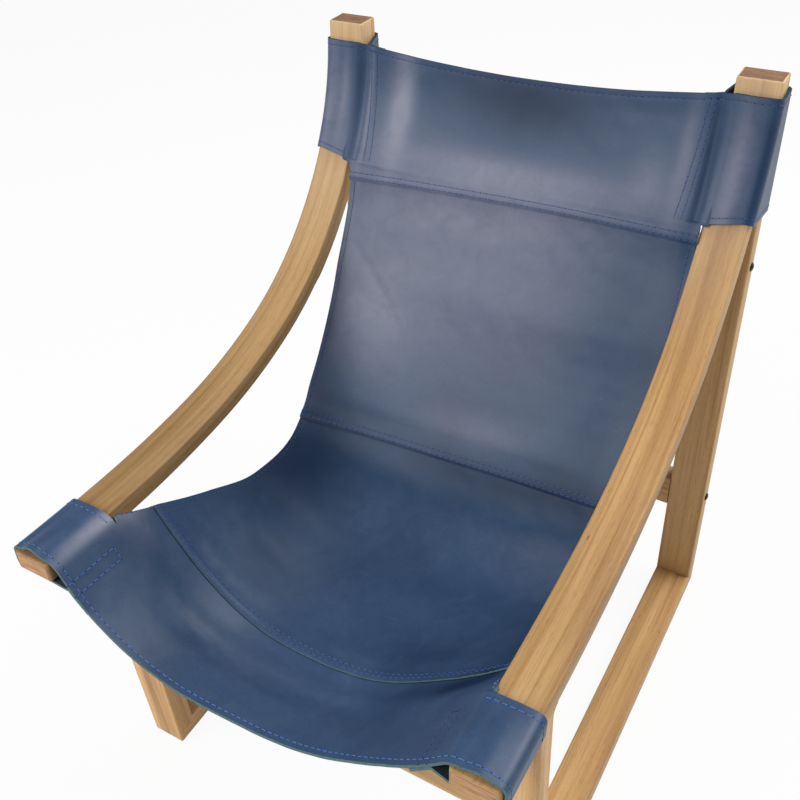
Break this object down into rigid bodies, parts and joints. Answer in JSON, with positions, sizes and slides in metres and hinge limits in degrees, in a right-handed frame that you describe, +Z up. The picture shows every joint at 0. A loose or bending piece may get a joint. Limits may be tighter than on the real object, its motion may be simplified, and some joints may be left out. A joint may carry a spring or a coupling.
{
  "type": "leather sling lounge chair",
  "caption": "Low lounge chair: a sewn leather sling hung between two bent wooden rails on open side frames tied by bolted crossbars.",
  "frame": {"origin": "on the floor, under the middle of the chair's outline", "axes": "+Z up, +Y from the front of the chair to its back, +X to the right of the picture"},
  "size_m": [0.6176, 0.7562, 0.8501],
  "materials": {
    "frame_wood": "clear matt lacquer on golden beige hardwood",
    "joint_wood": "raw beech",
    "bolt_black": "black",
    "nut_zinc": "zinc plated",
    "sling_leather": "smooth waxed navy leather, raw edges"
  },
  "bodies": {
    "root": {"arm_rail_left": "frame_wood", "arm_rail_right": "frame_wood", "front_leg_left": "frame_wood", "front_leg_right": "frame_wood", "rear_leg_left": "frame_wood", "rear_leg_right": "frame_wood", "floor_runner_left": "frame_wood", "floor_runner_right": "frame_wood", "front_crossbar": "frame_wood", "rear_lower_crossbar": "frame_wood", "rear_upper_crossbar": "frame_wood", "leg_tenon_left": "joint_wood", "leg_tenon_right": "joint_wood", "mitre_spline_front_left": "joint_wood", "mitre_spline_front_right": "joint_wood", "mitre_spline_rear_left": "joint_wood", "mitre_spline_rear_right": "joint_wood", "dowel_front_left_below": "joint_wood", "dowel_front_left_above": "joint_wood", "dowel_front_right_below": "joint_wood", "dowel_front_right_above": "joint_wood", "dowel_rear_lower_left_below": "joint_wood", "dowel_rear_lower_left_above": "joint_wood", "dowel_rear_lower_right_below": "joint_wood", "dowel_rear_lower_right_above": "joint_wood", "dowel_rear_upper_left_below": "joint_wood", "dowel_rear_upper_left_above": "joint_wood", "dowel_rear_upper_right_below": "joint_wood", "dowel_rear_upper_right_above": "joint_wood", "bolt_front_left": "bolt_black", "bolt_front_right": "bolt_black", "bolt_rear_lower_left": "bolt_black", "bolt_rear_lower_right": "bolt_black", "bolt_rear_upper_left": "bolt_black", "bolt_rear_upper_right": "bolt_black", "barrel_nut_front_left": "nut_zinc", "barrel_nut_front_right": "nut_zinc", "barrel_nut_rear_lower_left": "nut_zinc", "barrel_nut_rear_lower_right": "nut_zinc", "barrel_nut_rear_upper_left": "nut_zinc", "barrel_nut_rear_upper_right": "nut_zinc", "leather_front_panel": "sling_leather", "leather_seat_panel": "sling_leather", "leather_back_panel": "sling_leather", "leather_head_panel": "sling_leather"}
  },
  "joints": []
}
